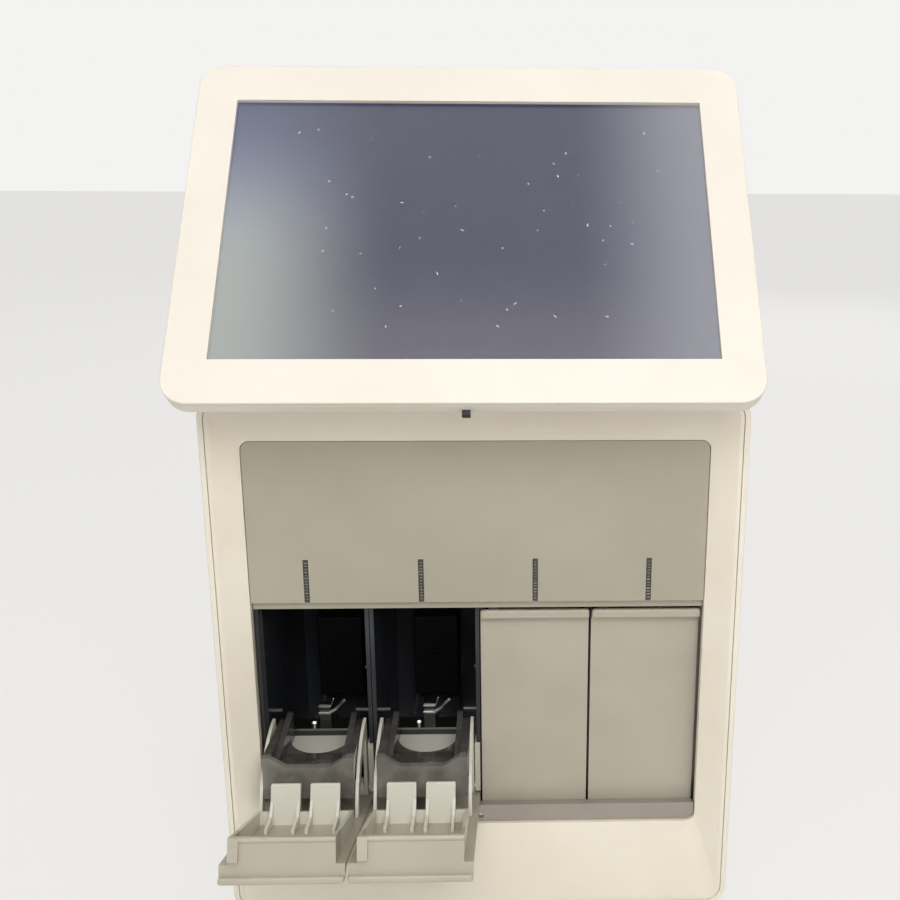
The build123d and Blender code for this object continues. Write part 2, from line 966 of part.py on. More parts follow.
arm_x = (hub_outer - arm_thickness, hub_outer)
root_angle = degrees(atan2(arm_outer, door_back - hinge_y))
finger_top = tray_bottom + finger_thickness

with BuildPart() as finger:
    with BuildSketch(side(0)):
        with BuildLine():
            Polyline(
                (door_back, tray_bottom),
                (door_back, finger_top),
                (door_back + finger_reach, finger_top - finger_drop),
                (door_back + finger_reach, tray_bottom - finger_drop),
                close=True,
            )
        make_face()
    extrude(amount=finger_width)
    fillet(finger.faces().sort_by(Axis.Y)[-1].edges(), finger_round)
    for start in (0, finger_width - rib_width):
        with BuildSketch(side(start)):
            with BuildLine():
                Polyline(
                    (door_back, finger_top - finger_drop),
                    (door_back, finger_top + rib_rise),
                    (door_back + rib_depth, finger_top + rib_rise),
                    (door_back + 2 * rib_depth, finger_top + rib_depth),
                    (door_back + rib_length, finger_top - finger_drop),
                    close=True,
                )
            make_face()
        extrude(amount=rib_width)

with BuildPart() as door:
    half = door_width / 2
    block((-half, half), (door_front, door_back), (door_bottom, door_top))
    lip_back = lip_front + lip_thickness
    with BuildSketch(side(-half)):
        with BuildLine():
            Polyline(
                (door_back, lip_curve_low),
                (door_back, door_top),
                (lip_back, door_top),
                (lip_back, lip_top),
                (lip_front, lip_top),
                (lip_front, lip_top - lip_drop),
            )
            TangentArc(
                (lip_front, lip_top - lip_drop),
                (door_front, lip_curve_low),
                tangent=(1, -lip_slope),
            )
            Line((door_front, lip_curve_low), (door_back, lip_curve_low))
        make_face()
    extrude(amount=door_width)
    fillet(door.edges().filter_by(Axis.Y).group_by(Axis.Z)[-1], lip_corner)
    fillet(door.edges().filter_by(Axis.X).group_by(Axis.Z)[-1], lip_round)

    # Tray: a top wall with a rolled rim, two tapering side walls and a lower wall
    high = door_back + tray_depth_high
    low = door_back + tray_depth_low
    block((-tray_half, tray_half), (door_back, high), (door_top - tray_top_wall, door_top))
    with BuildSketch(side(-tray_half)):
        with Locations((high - bead_radius, door_top - bead_radius + bead_rise)):
            Circle(bead_radius)
    extrude(amount=2 * tray_half)
    block((-tray_half, tray_half), (door_back, low), (tray_bottom, tray_bottom + tray_wall))
    for x in (-tray_half, tray_half - tray_wall):
        with BuildSketch(side(x)):
            with BuildLine():
                Polyline(
                    (door_back, tray_bottom),
                    (low, tray_bottom),
                    (high, door_top),
                    (door_back, door_top),
                    close=True,
                )
            make_face()
        extrude(amount=tray_wall)
    with BuildSketch(side(-tray_half)):
        with BuildLine():
            Polyline(
                (high, door_top - tray_top_wall),
                (high, door_top + catch_low),
                (high - catch_depth, door_top + catch_rise),
                (high - catch_depth, door_top - tray_top_wall),
                close=True,
            )
        make_face()
    extrude(amount=catch_width)

    # Two fingers that push the cartridge home
    with Locations(
        Location((-finger_inner - finger_width, 0, 0)), Location((finger_inner, 0, 0))
    ):
        add(finger.part)

    # Arms, each a ring with a spoke, their hubs, and the barrel between the hubs
    for x in (-arm_x[1], arm_x[0]):
        with BuildSketch(side(x)):
            with BuildLine():
                outer_arc = CenterArc((hinge_y, hinge_z), arm_outer, arm_end, root_angle - arm_end)
                inner_arc = CenterArc((hinge_y, hinge_z), arm_inner, arm_end, root_angle - arm_end)
                Line(inner_arc @ 0, outer_arc @ 0)
                Line(inner_arc @ 1, outer_arc @ 1)
            make_face()
            with Locations(Location((hinge_y, hinge_z, 0), arm_end)):
                with Locations((arm_inner / 2 + arm_lap, spoke_width / 2)):
                    Rectangle(arm_inner + 2 * arm_lap, spoke_width)
        extrude(amount=arm_thickness)
    with BuildSketch(side(-hub_outer)):
        with Locations((hinge_y, hinge_z)):
            Circle(barrel_radius)
    extrude(amount=2 * hub_outer)
    for x in (-hub_outer, hub_outer - hub_length):
        with BuildSketch(side(x)):
            with Locations((hinge_y, hinge_z)):
                Circle(hub_radius)
        extrude(amount=hub_length)
    for x in (-hub_outer, hub_outer - hub_length):
        with BuildSketch(side(x)):
            with Locations((hinge_y, hinge_z)):
                Circle(pin_radius + pin_clearance)
        extrude(amount=hub_length, mode=Mode.SUBTRACT)

for number, x in enumerate(bay_x, 1):
    write(f"door_{number}", door, [about_hinge(x, open_angle if number <= open_count else 0)])

# Rear panel, fan, power inlet and ports

fan_x = body_width / 2 - fan_inset
port_x = body_width / 2 - port_inset
vent_x = vent_inset - body_width / 2
inlet_x = inlet_inset - body_width / 2
socket_x = inlet_x + socket_offset
switch_x = inlet_x + switch_offset
fan_hole = fan_hole_ratio * fan_size
fan_holes = [(fan_x + x, fan_z + z) for x in (-fan_hole, fan_hole) for z in (-fan_hole, fan_hole)]

with BuildPart() as rear_panel:
    with BuildSketch(facing(panel_y)):
        with Locations((0, body_middle)):
            RectangleRounded(bezel_width, bezel_height, bezel_radius)
        with Locations((fan_x, fan_z)):
            Circle(fan_bore, mode=Mode.SUBTRACT)
        with Locations((vent_x, vent_low + (vent_count - 1) * vent_pitch / 2)):
            with GridLocations(0, vent_pitch, 1, vent_count):
                SlotOverall(vent_length, vent_width, mode=Mode.SUBTRACT)
        with Locations((inlet_x, inlet_z)):
            Rectangle(
                inlet_width - 2 * inlet_lip + gap,
                inlet_height - 2 * inlet_lip + gap,
                mode=Mode.SUBTRACT,
            )
        with Locations((port_x, port_z)):
            Rectangle(port_width, port_height, mode=Mode.SUBTRACT)
        with Locations(*fan_holes):
            Circle(screw_radius_small + gap, mode=Mode.SUBTRACT)
    extrude(amount=-panel_thickness)
rear_panel.part.label = "rear_panel"
export_step(rear_panel.part, "parts/rear_panel.step")

with BuildPart() as fan_frame:
    with BuildSketch(facing(panel_y - fan_depth)):
        with Locations((fan_x, fan_z)):
            RectangleRounded(fan_size, fan_size, rim_round * 3)
            Circle(fan_bore, mode=Mode.SUBTRACT)
        with Locations(*fan_holes):
            Circle(screw_radius_small + gap, mode=Mode.SUBTRACT)
    extrude(amount=-fan_depth)
    with BuildSketch(facing(panel_y - fan_depth)):
        with Locations((fan_x, fan_z)):
            Circle(fan_hub)
            for angle in (45, 135):
                with Locations(Location((0, 0, 0), angle)):
                    Rectangle(2 * fan_bore + strut_width, strut_width)
    extrude(amount=-strut_depth)
    with BuildSketch(facing(panel_y - fan_depth)):
        with Locations((fan_x, fan_z)):
            Circle(fan_bearing)
    extrude(amount=-bearing_depth)
fan_frame.part.label = "fan_frame"
export_step(fan_frame.part, "parts/fan_frame.step")

rotor_front = panel_y - fan_depth + strut_depth + rotor_gap
rotor_back = panel_y - 2 * rotor_gap
blade_depth = rotor_back - rotor_front - 4 * rotor_gap

with BuildPart() as fan_rotor:
    with BuildSketch(facing(rotor_front)):
        with Locations((fan_x, fan_z)):
            Circle(fan_hub)
    extrude(amount=-(rotor_back - rotor_front))
    fillet(fan_rotor.faces().sort_by(Axis.Y)[-1].edges(), rim_round)
    middle_y = front_y + (rotor_front + rotor_back) / 2
    for number in range(blade_count):
        angle = 360 / blade_count * number
        spoke = Location((casing_x + fan_x, middle_y, fan_z), (0, angle, 0))
        blade_middle = (fan_hub + blade_radius) / 2 - blade_bite
        twist = Location((blade_middle, 0, 0), (blade_pitch_angle, 0, 0))
        with Locations(spoke * twist):
            Box(blade_radius - fan_hub, blade_depth, blade_thickness)
    with BuildSketch(facing(rotor_front)):
        with Locations((fan_x, fan_z)):
            Circle(fan_bearing + pin_clearance)
    extrude(amount=-(bearing_depth - strut_depth - rotor_gap + gap), mode=Mode.SUBTRACT)
fan_rotor.part.label = "fan_rotor"
export_step(fan_rotor.part, "parts/fan_rotor.step")

panel_back = panel_y + panel_thickness

with BuildPart() as fan_guard:
    with BuildSketch(facing(panel_back)):
        with Locations((fan_x, fan_z)):
            for number in range(guard_rings, 0, -1):
                ring = (fan_bore + guard_wire) * number / guard_rings
                Circle(ring)
                Circle(ring - guard_wire, mode=Mode.SUBTRACT)
        with Locations((fan_x, fan_z)):
            for angle in (45, 135):
                with Locations(Location((0, 0, 0), angle)):
                    Rectangle(2 * fan_hole * 2**0.5, guard_wire)
        with Locations(*fan_holes):
            Circle(screw_head)
            Circle(screw_radius_small, mode=Mode.SUBTRACT)
    extrude(amount=-guard_wire)
fan_guard.part.label = "fan_guard"
export_step(fan_guard.part, "parts/fan_guard.step")

inlet_back = panel_back + inlet_flange
switch_y = panel_back - switch_sink
switch_half = switch_radius + gap

with BuildPart() as power_inlet:
    with BuildSketch(facing(panel_back)):
        with Locations((inlet_x, inlet_z)):
            RectangleRounded(inlet_width, inlet_height, rim_round * 2)
    extrude(amount=-inlet_flange)
    with BuildSketch(facing(inlet_back - inlet_depth)):
        with Locations((inlet_x, inlet_z)):
            Rectangle(inlet_width - 2 * inlet_lip, inlet_height - 2 * inlet_lip)
    extrude(amount=-(inlet_depth - inlet_flange))
    with BuildSketch(facing(inlet_back - socket_depth)):
        with Locations((socket_x, inlet_z)):
            RectangleRounded(socket_width, socket_height, rim_round * 2)
    extrude(amount=-socket_depth, mode=Mode.SUBTRACT)
    with BuildSketch(facing(inlet_back - socket_depth)):
        with Locations(
            (socket_x - prong_spacing, inlet_z - prong_shift),
            (socket_x, inlet_z + prong_shift),
            (socket_x + prong_spacing, inlet_z - prong_shift),
        ):
            Rectangle(prong_width, prong_height)
    extrude(amount=-prong_length)
    block(
        (switch_x - switch_width / 2 - gap, switch_x + switch_width / 2 + gap),
        (switch_y - switch_radius - gap, inlet_back),
        (inlet_z - switch_half, inlet_z + switch_half),
        mode=Mode.SUBTRACT,
    )
    with BuildSketch(side(switch_x - switch_width / 2 - switch_pin_length)):
        with Locations((switch_y, inlet_z)):
            Circle(switch_pin + pin_clearance)
    extrude(amount=switch_width + 2 * switch_pin_length, mode=Mode.SUBTRACT)
power_inlet.part.label = "power_inlet"
export_step(power_inlet.part, "parts/power_inlet.step")

with BuildPart() as rocker_switch:
    tip_y = switch_y + switch_rise + switch_radius * sin(radians(switch_angle))
    tip_z = switch_radius + switch_pin
    with BuildSketch(side(switch_x - switch_width / 2)):
        with Locations((switch_y, inlet_z)):
            Circle(switch_radius)
        with BuildLine():
            Polyline(
                (tip_y, inlet_z - tip_z),
                (switch_y + switch_rise, inlet_z),
                (tip_y, inlet_z + tip_z),
                (switch_y + 2 * switch_radius, inlet_z + tip_z),
                (switch_y + 2 * switch_radius, inlet_z - tip_z),
                close=True,
            )
        make_face(mode=Mode.SUBTRACT)
        with Locations((switch_y - switch_radius, inlet_z)):
            Rectangle(switch_radius, 2 * switch_radius, mode=Mode.SUBTRACT)
    extrude(amount=switch_width)
    with BuildSketch(side(switch_x - switch_width / 2 - switch_pin_length)):
        with Locations((switch_y, inlet_z)):
            Circle(switch_pin)
    extrude(amount=switch_width + 2 * switch_pin_length)
pressed = (
    Location((0, front_y + switch_y, inlet_z), (switch_angle, 0, 0))
    * Location((0, -front_y - switch_y, -inlet_z))
)
write("rocker_switch", rocker_switch, [pressed])

with BuildPart() as port_block:
    block(
        (port_x - port_width / 2 + gap, port_x + port_width / 2 - gap),
        (panel_back - port_depth, panel_back),
        (port_z - port_height / 2 + gap, port_z + port_height / 2 - gap),
    )
    for x, width, height in (
        (-data_spacing, network_width, network_height),
        (0, data_width, data_height),
        (data_spacing, data_width, data_height),
    ):
        block(
            (port_x + x - width / 2, port_x + x + width / 2),
            (panel_back - port_depth + port_wall, panel_back),
            (port_z - height / 2, port_z + height / 2),
            mode=Mode.SUBTRACT,
        )
port_block.part.label = "port_block"
export_step(port_block.part, "parts/port_block.step")

# Screws: four up through the feet, one in the sill, and four in the fan's guard


def screw(x, y, z, direction, length):
    """One screw: its head on a surface at a point, its shank along a direction."""
    seat = Plane(origin=(x, y, z), z_dir=direction)
    with BuildSketch(seat) as shank:
        Circle(screw_radius_small - gap / 3)
    extrude(shank.sketch, amount=length)
    with BuildSketch(seat) as head:
        Circle(screw_head - gap)
    extrude(head.sketch, amount=-screw_head_height)


with BuildPart() as case_screws:
    for x, y in foot_places:
        screw(x, y, foot_height / 2, (0, 0, 1), pan_top - foot_height / 2 + screw_grip)
    for x, z in fan_holes:
        screw(
            casing_x + x, front_y + panel_back + guard_wire, z, (0, -1, 0), fan_depth / 2
        )
    with BuildSketch(facing(sill_front + sill_screw_sink)):
        with Locations((0, sill_screw_z)):
            Circle(sill_screw_radius)
    extrude(amount=-(sill_back - sill_front - sill_screw_sink))
case_screws.part.label = "case_screws"
export_step(case_screws.part, "parts/case_screws.step")

# Display and the mount that it tilts on

shell_front = bezel_plate + seam_width
face_out = screen(0).z_dir

with BuildPart() as display_shell:
    with BuildSketch(screen(shell_front)):
        with Locations((0, display_height / 2)):
            RectangleRounded(display_width, display_height, display_radius)
    extrude(amount=-(display_thickness - shell_front))
    across = display_shell.faces().sort_by(Axis((0, 0, 0), face_out))
    fillet(across[0].outer_wire().edges(), display_edge_round)
    across = display_shell.faces().sort_by(Axis((0, 0, 0), face_out))
    chamfer(across[-1].outer_wire().edges(), seam_chamfer)
    with BuildSketch(screen(bezel_plate)):
        with Locations((0, display_height / 2)):
            RectangleRounded(
                display_width - 2 * seam_depth,
                display_height - 2 * seam_depth,
                display_radius - seam_depth,
            )
    extrude(amount=-seam_width)
    bulge_middle = bulge_low + bulge_height / 2
    with BuildSketch(screen(display_thickness)):
        with Locations((0, bulge_middle)):
            RectangleRounded(bulge_width, bulge_height, display_radius)
    with BuildSketch(screen(bulge_depth)):
        with Locations((0, bulge_middle)):
            RectangleRounded(
                bulge_width - 2 * bulge_taper, bulge_height - 2 * bulge_taper, display_radius
            )
    loft()
    with BuildSketch(screen(bezel_plate)):
        with Locations((0, display_height / 2)):
            RectangleRounded(
                display_width - 4 * display_wall,
                display_height - 4 * display_wall,
                display_radius - 2 * display_wall,
            )
    extrude(amount=-(display_thickness - bezel_plate - display_wall), mode=Mode.SUBTRACT)
    with BuildSketch(screen(display_thickness - display_wall)):
        with Locations((0, bulge_middle)):
            RectangleRounded(
                bulge_width - 2 * bulge_taper - 2 * display_wall,
                bulge_height - 2 * bulge_taper - 2 * display_wall,
                display_radius - display_wall,
            )
    extrude(amount=-(bulge_depth - display_thickness), mode=Mode.SUBTRACT)
    for x in (-knuckle_outer, knuckle_inner):
        knuckle = Plane(
            origin=(display_x + x, front_y + shaft_y, shaft_z),
            x_dir=face_out,
            z_dir=(1, 0, 0),
        )
        with BuildSketch(knuckle):
            Circle(knuckle_radius)
            with Locations(((shaft_back - bulge_depth + knuckle_bite) / 2, 0)):
                Rectangle(shaft_back - bulge_depth + knuckle_bite, 2 * knuckle_radius)
        extrude(amount=knuckle_outer - knuckle_inner)
        with BuildSketch(knuckle):
            Circle(shaft_radius + pin_clearance)
        extrude(amount=knuckle_outer - knuckle_inner, mode=Mode.SUBTRACT)
display_shell.part.label = "display_shell"
export_step(display_shell.part, "parts/display_shell.step")

with BuildPart() as display_bezel:
    with BuildSketch(screen(0)):
        with Locations((0, display_height / 2)):
            RectangleRounded(display_width, display_height, display_radius)
        with Locations((0, window_middle)):
            Rectangle(window_width, window_height, mode=Mode.SUBTRACT)
    extrude(amount=-bezel_plate)
    across = display_bezel.faces().sort_by(Axis((0, 0, 0), face_out))
    fillet(across[-1].outer_wire().edges(), bezel_round)
display_bezel.part.label = "display_bezel"
export_step(display_bezel.part, "parts/display_bezel.step")

with BuildPart() as display_glass:
    with BuildSketch(screen(bezel_plate)):
        with Locations((0, window_middle)):
            Rectangle(window_width + 2 * glass_lap, window_height + 2 * glass_lap)
    extrude(amount=-glass_thickness)
display_glass.part.label = "display_glass"
export_step(display_glass.part, "parts/display_glass.step")

lcd_front = bezel_plate + glass_thickness
lcd_back = lcd_front + lcd_thickness

with BuildPart() as display_panel:
    with BuildSketch(screen(lcd_front)):
        with Locations((0, window_middle)):
            Rectangle(window_width + 2 * glass_lap, window_height + 2 * glass_lap)
    extrude(amount=-lcd_thickness)
display_panel.part.label = "display_panel"
export_step(display_panel.part, "parts/display_panel.step")

with BuildPart() as display_board:
    board_front = display_thickness + display_board_gap
    with BuildSketch(screen(board_front)):
        with Locations((0, bulge_middle)):
            Rectangle(display_board_width, display_board_height)
    extrude(amount=-board_thickness)
    with BuildSketch(screen(lcd_back)):
        with Locations((0, bulge_middle)):
            with GridLocations(
                display_board_width - 2 * display_post_inset,
                display_board_height - 2 * display_post_inset,
                2,
                2,
            ):
                Circle(display_post_radius)
    extrude(amount=-(board_front - lcd_back))
    with BuildSketch(screen(board_front + board_thickness)):
        with Locations((0, bulge_middle)):
            with GridLocations(display_board_width / 3, 0, 2, 1):
                Rectangle(display_chip_side, display_chip_side)
    extrude(amount=-display_chip_height)
display_board.part.label = "display_board"
export_step(display_board.part, "parts/display_board.step")

with BuildPart() as scanner_unit:
    with BuildSketch(screen(scanner_set_back)):
        with Locations((0, -scanner_drop / 2)):
            Rectangle(scanner_width, scanner_drop)
    extrude(amount=-scanner_depth)
scanner_unit.part.label = "scanner_unit"
export_step(scanner_unit.part, "parts/scanner_unit.step")

with BuildPart() as tilt_bracket:
    half = mount_width / 2
    block(
        (display_offset - half, display_offset + half),
        (mount_front, mount_back),
        (body_top, body_top + mount_plate),
    )
    fillet(tilt_bracket.edges().filter_by(Axis.Z), display_radius / 2)
    ear_base = body_top + mount_plate
    for x in (display_offset - ear_outer, display_offset + ear_inner):
        with BuildSketch(side(x)):
            with Locations((shaft_y, shaft_z)):
                Circle(ear_radius)
            with BuildLine():
                Polyline(
                    (shaft_y - ear_foot_front, ear_base),
                    (shaft_y + ear_foot_back, ear_base),
                    (shaft_y + ear_radius, shaft_z),
                    (shaft_y - ear_radius, shaft_z),
                    close=True,
                )
            make_face()
        extrude(amount=ear_outer - ear_inner)
        with BuildSketch(side(x)):
            with Locations((shaft_y, shaft_z)):
                Circle(shaft_radius)
        extrude(amount=ear_outer - ear_inner, mode=Mode.SUBTRACT)
tilt_bracket.part.label = "tilt_bracket"
export_step(tilt_bracket.part, "parts/tilt_bracket.step")

with BuildPart() as tilt_shaft:
    with BuildSketch(side(display_offset - ear_outer)):
        with Locations((shaft_y, shaft_z)):
            Circle(shaft_radius)
    extrude(amount=2 * ear_outer)
tilt_shaft.part.label = "tilt_shaft"
export_step(tilt_shaft.part, "parts/tilt_shaft.step")
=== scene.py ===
import json
from math import cos, radians, sin

import bmesh
import bpy
from mathutils import Matrix, Vector


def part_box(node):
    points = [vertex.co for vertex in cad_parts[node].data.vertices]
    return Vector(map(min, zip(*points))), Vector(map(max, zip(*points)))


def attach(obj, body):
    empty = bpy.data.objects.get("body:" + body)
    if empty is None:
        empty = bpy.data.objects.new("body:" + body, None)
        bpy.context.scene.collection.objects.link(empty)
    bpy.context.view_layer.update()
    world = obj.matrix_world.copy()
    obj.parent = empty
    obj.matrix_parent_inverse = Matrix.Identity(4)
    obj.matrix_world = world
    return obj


# The looks of a bench-top real-time PCR system: its finishes, the small trim that the
# solids leave out, the studio around it and the camera.

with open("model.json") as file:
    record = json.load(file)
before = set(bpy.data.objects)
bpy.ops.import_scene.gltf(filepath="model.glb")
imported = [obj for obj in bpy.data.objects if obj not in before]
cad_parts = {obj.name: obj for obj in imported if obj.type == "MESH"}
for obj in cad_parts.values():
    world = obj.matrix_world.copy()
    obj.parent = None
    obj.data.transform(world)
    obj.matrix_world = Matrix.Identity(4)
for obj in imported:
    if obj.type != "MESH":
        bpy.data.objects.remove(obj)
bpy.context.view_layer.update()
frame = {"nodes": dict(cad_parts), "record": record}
nodes = frame["nodes"]

MM = 0.001
BAYS = (1, 2, 3, 4)
OPEN_BAYS = (1, 2)


def srgb(red, green, blue):
    """A colour given as display values from 0 to 255, as the linear values a shader takes."""
    values = []
    for value in (red, green, blue):
        share = value / 255
        values.append(share / 12.92 if share <= 0.04045 else ((share + 0.055) / 1.055) ** 2.4)
    return (*values, 1.0)


# Building blocks for finishes


class Finish:
    """A material under construction: its tree, its shader and its object coordinates."""

    def __init__(self, name, colour, roughness, metallic=0.0):
        self.material = bpy.data.materials.new(name)
        self.material.use_nodes = True
        self.tree = self.material.node_tree
        self.shader = self.tree.nodes["Principled BSDF"]
        self.shader.inputs["Base Color"].default_value = colour
        self.shader.inputs["Roughness"].default_value = roughness
        self.shader.inputs["Metallic"].default_value = metallic
        self.colour = colour
        self.place = self.tree.nodes.new("ShaderNodeTexCoord").outputs["Object"]

    def node(self, kind, **settings):
        made = self.tree.nodes.new(kind)
        for name, value in settings.items():
            setattr(made, name, value)
        return made

    def link(self, output, target):
        self.tree.links.new(output, target)

    def stretched(self, scale):
        """Object coordinates scaled along each axis, for grain that runs one way."""
        mapping = self.node("ShaderNodeMapping")
        mapping.inputs["Scale"].default_value = scale
        self.link(self.place, mapping.inputs["Vector"])
        return mapping.outputs["Vector"]

    def noise(self, size, detail=3.0, roughness=0.5, place=None):
        """Noise whose blotches are about this large, in metres."""
        made = self.node("ShaderNodeTexNoise")
        made.inputs["Scale"].default_value = 1 / size
        made.inputs["Detail"].default_value = detail
        made.inputs["Roughness"].default_value = roughness
        self.link(place or self.place, made.inputs["Vector"])
        return made.outputs["Fac"]

    def span(self, value, low, high, to_low, to_high):
        """Maps a value from one range to another, clamped."""
        made = self.node("ShaderNodeMapRange")
        for name, number in (
            ("From Min", low),
            ("From Max", high),
            ("To Min", to_low),
            ("To Max", to_high),
        ):
            made.inputs[name].default_value = number
        self.link(value, made.inputs["Value"])
        return made.outputs["Result"]

    def blend(self, share, first, second):
        """Mixes two colours, or a colour output and a colour, by a share."""
        made = self.node("ShaderNodeMix", data_type="RGBA")
        self.link(share, made.inputs["Factor"])
        for source, target in ((first, made.inputs["A"]), (second, made.inputs["B"])):
            if isinstance(source, tuple):
                target.default_value = source
            else:
                self.link(source, target)
        return made.outputs["Result"]

    def product(self, first, second):
        """Two shares multiplied."""
        made = self.node("ShaderNodeMath", operation="MULTIPLY")
        self.link(first, made.inputs[0])
        self.link(second, made.inputs[1])
        return made.outputs["Value"]

    def tint(self, colour):
        self.link(colour, self.shader.inputs["Base Color"])

    def mottle(self, second, size=0.05, low=0.35, high=0.65):
        """Faint patches of a second colour."""
        share = self.span(self.noise(size), low, high, 0, 1)
        mixed = self.blend(share, self.colour, second)
        self.tint(mixed)
        return mixed

    def wear(self, low, high, size=0.03):
        """Roughness that wanders between two values."""
        value = self.span(self.noise(size, detail=5), 0.3, 0.7, low, high)
        self.link(value, self.shader.inputs["Roughness"])

    def bump(self, height, depth, strength=1.0):
        """A bump of this depth, in metres, on top of any bump already there."""
        made = self.node("ShaderNodeBump")
        made.inputs["Strength"].default_value = strength
        made.inputs["Distance"].default_value = depth
        self.link(height, made.inputs["Height"])
        normal = self.shader.inputs["Normal"]
        if normal.is_linked:
            self.link(normal.links[0].from_socket, made.inputs["Normal"])
        self.link(made.outputs["Normal"], normal)


def moulded(name, colour, second, roughness, grain=0.0009, depth=0.00004):
    """Injection-moulded plastic: faint mottle, wandering gloss and a fine spark-eroded grain."""
    finish = Finish(name, colour, roughness)
    finish.mottle(second)
    finish.wear(roughness - 0.05, roughness + 0.07)
    finish.bump(finish.noise(grain, detail=2), depth)
    return finish


# Finishes of this machine


def casing_paint():
    """Warm white structural paint with a fine orange peel."""
    warm, warmer = srgb(239, 231, 216), srgb(236, 228, 213)
    finish = moulded("casing_paint", warm, warmer, 0.42, 0.0012, 0.00003)
    finish.bump(finish.noise(0.004, detail=1), 0.00003)
    return finish.material


def screen_frame_plastic():
    """Clean white plastic round the screen."""
    clean, cream = srgb(235, 228, 216), srgb(231, 223, 210)
    return moulded("screen_frame_plastic", clean, cream, 0.36).material


def bezel_plastic():
    """Warm white plastic of the front bezel."""
    return moulded("bezel_plastic", srgb(238, 230, 214), srgb(232, 223, 206), 0.4).material


def fascia_paint():
    """Warm grey satin fascia."""
    grey, brown = srgb(176, 169, 153), srgb(170, 163, 146)
    return moulded("fascia_paint", grey, brown, 0.34, 0.0007).material


# Where the painted light inside the doors' trays starts behind the hinge and ends above it, with the
# doors shut
DOOR_BACK = (-3.7 * MM, -3.2 * MM)
TRAY_HEIGHT = (92 * MM, 98 * MM)
OPEN_TURN = radians(74)


def door_plastic(name, turn):
    """Grey-beige door plastic, paler inside the tray with painted light where the display's overhang
    keeps light off it, on a door that stands this far open.
    """
    finish = moulded(name, srgb(184, 177, 161), srgb(178, 170, 153), 0.36, 0.0008)
    outer = finish.mottle(srgb(178, 170, 153))
    hinge = sum(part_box("hinge_pins"), Vector()) / 2
    closing = Matrix.Rotation(-turn, 3, "X")
    shut = finish.node("ShaderNodeMapping")
    shut.inputs["Rotation"].default_value = (-turn, 0, 0)
    shut.inputs["Location"].default_value = -(closing @ hinge)
    finish.link(finish.place, shut.inputs["Vector"])
    place = finish.node("ShaderNodeSeparateXYZ")
    finish.link(shut.outputs["Vector"], place.inputs["Vector"])
    behind = finish.span(place.outputs["Y"], *DOOR_BACK, 0, 1)
    below = finish.span(place.outputs["Z"], *TRAY_HEIGHT, 1, 0)
    inside = finish.product(behind, below)
    # Painted light: the tray's inside is blended to a paler colour than the door's outside
    finish.tint(finish.blend(inside, outer, srgb(212, 208, 194)))
    return finish.material


def bay_plastic():
    """Glossy black plastic inside the bays, with faint dust."""
    finish = Finish("bay_plastic", srgb(50, 52, 56), 0.14)
    dust = finish.span(finish.noise(0.0016, detail=4), 0.64, 0.74, 0, 0.25)
    finish.tint(finish.blend(dust, finish.colour, srgb(72, 72, 70)))
    finish.wear(0.1, 0.26)
    finish.bump(finish.noise(0.006), 0.00005)
    return finish.material


def optics_shaded_black():
    """Dull black plastic deep in the bays, painted darker than the bays' own black as painted shade.
    """
    # Painted shade: a darker copy of the bays' black with weak gloss, so the block stays as dark as
    # the bay's depths
    finish = moulded("optics_shaded_black", srgb(12, 13, 15), srgb(16, 17, 18), 0.45)
    finish.shader.inputs["Specular IOR Level"].default_value = 0.12
    return finish.material


# Where the cradle gets darker with painted shade, as depths behind its front
BAR_END = (3.2 * MM, 5.5 * MM)
BRIDGE_START = (46 * MM, 49 * MM)


def cradle_plastic(index):
    """Smoky, glossy plastic with cloudy patches, darker behind its bar with painted shade, and near
    black over its bridge and post, partly from their own dark plastic and partly from painted shade.
    """
    finish = Finish(f"cradle_plastic_{index}", srgb(102, 99, 93), 0.2)
    cloud = finish.span(finish.noise(0.016, detail=3, roughness=0.5), 0.36, 0.66, 0, 0.8)
    clouded = finish.blend(cloud, finish.colour, srgb(136, 132, 125))
    scuff = finish.span(finish.noise(0.0022, detail=5, roughness=0.7), 0.62, 0.8, 0, 0.3)
    scuffed = finish.blend(scuff, clouded, srgb(186, 182, 174))
    place = finish.node("ShaderNodeSeparateXYZ")
    finish.link(finish.place, place.inputs["Vector"])
    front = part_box(f"cradle_{index}")[0].y
    # Painted shade: near black over the bridge and post, partly their own dark plastic, and darker
    # in the recess behind the front bar
    behind = finish.span(place.outputs["Y"], *(front + depth for depth in BRIDGE_START), 0, 0.93)
    inside = finish.span(place.outputs["Y"], *(front + depth for depth in BAR_END), 0, 0.6)
    painted_shade_behind_bar = finish.blend(inside, scuffed, srgb(34, 33, 31))
    finish.tint(finish.blend(behind, painted_shade_behind_bar, srgb(12, 12, 12)))
    finish.shader.inputs["IOR"].default_value = 1.52
    finish.shader.inputs["Coat Weight"].default_value = 0.25
    finish.shader.inputs["Coat Roughness"].default_value = 0.08
    finish.wear(0.12, 0.3, 0.006)
    finish.bump(finish.noise(0.003), 0.00012)
    return finish.material


def sill_paint():
    """Brownish grey strip under the doors."""
    return moulded("sill_paint", srgb(160, 151, 141), srgb(152, 143, 133), 0.36, 0.0007).material


def stage_plastic():
    """Pale cream engineering plastic."""
    cream, shade = srgb(206, 203, 192), srgb(196, 193, 181)
    return moulded("stage_plastic", cream, shade, 0.38, 0.0007).material


def black_plastic():
    """Dull black plastic of the fan, the inlet and the ports."""
    return moulded("black_plastic", srgb(28, 28, 29), srgb(34, 34, 34), 0.5, 0.0006).material


def foot_rubber():
    """Matt black rubber."""
    return moulded("foot_rubber", srgb(24, 24, 24), srgb(32, 31, 30), 0.82, 0.0009, 0.00008).material


